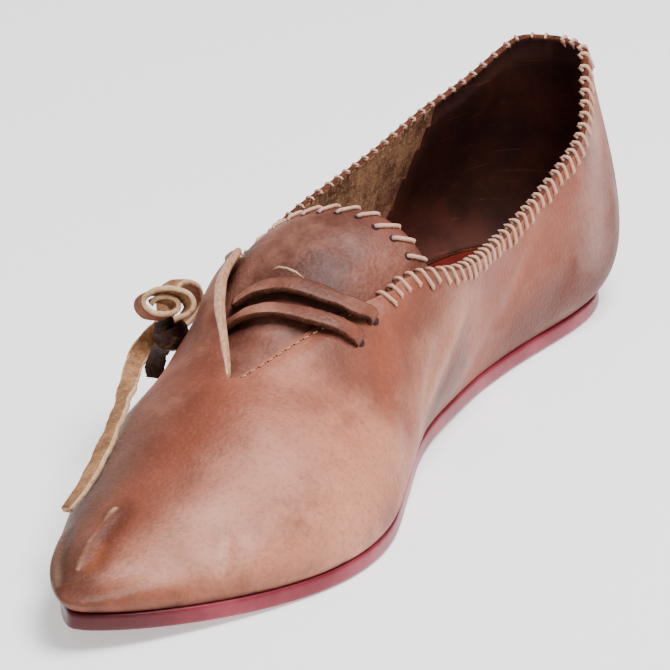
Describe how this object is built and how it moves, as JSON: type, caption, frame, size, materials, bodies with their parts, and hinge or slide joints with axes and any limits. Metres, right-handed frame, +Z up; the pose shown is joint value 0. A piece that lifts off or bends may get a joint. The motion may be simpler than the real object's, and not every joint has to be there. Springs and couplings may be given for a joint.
{
  "type": "turn shoe",
  "caption": "Medieval leather turn shoe for the right foot, with a pointed toe, a flat sole, a slit throat over a stitched tongue, and a leather thong tied at the side",
  "frame": {"origin": "On the floor under the middle of the shoe's bounding box, measured without the loose thong ends", "axes": "+X points to the medial (inner) side of the foot, +Y from toe to heel, +Z up"},
  "size_m": [0.0844, 0.2746, 0.0651],
  "materials": {
    "upper_leather": "semi-gloss pebbled",
    "tongue_leather": "semi-gloss pebbled",
    "sole_leather": "satin dyed edge",
    "insole_leather": "glossy dyed",
    "thong_leather": "matt, raw cut edges",
    "stitch_thread": "waxed thread, matt"
  },
  "bodies": {
    "root": {"outsole": "sole_leather", "insole": "insole_leather", "upper": "upper_leather", "tongue": "tongue_leather", "lace_bar_back": "thong_leather", "lace_bar_front": "thong_leather", "lace_knot": "thong_leather", "lace_front_loop": "thong_leather", "lace_back_loop": "thong_leather", "lace_hanging_end": "thong_leather", "lace_short_end": "thong_leather"}
  },
  "joints": []
}
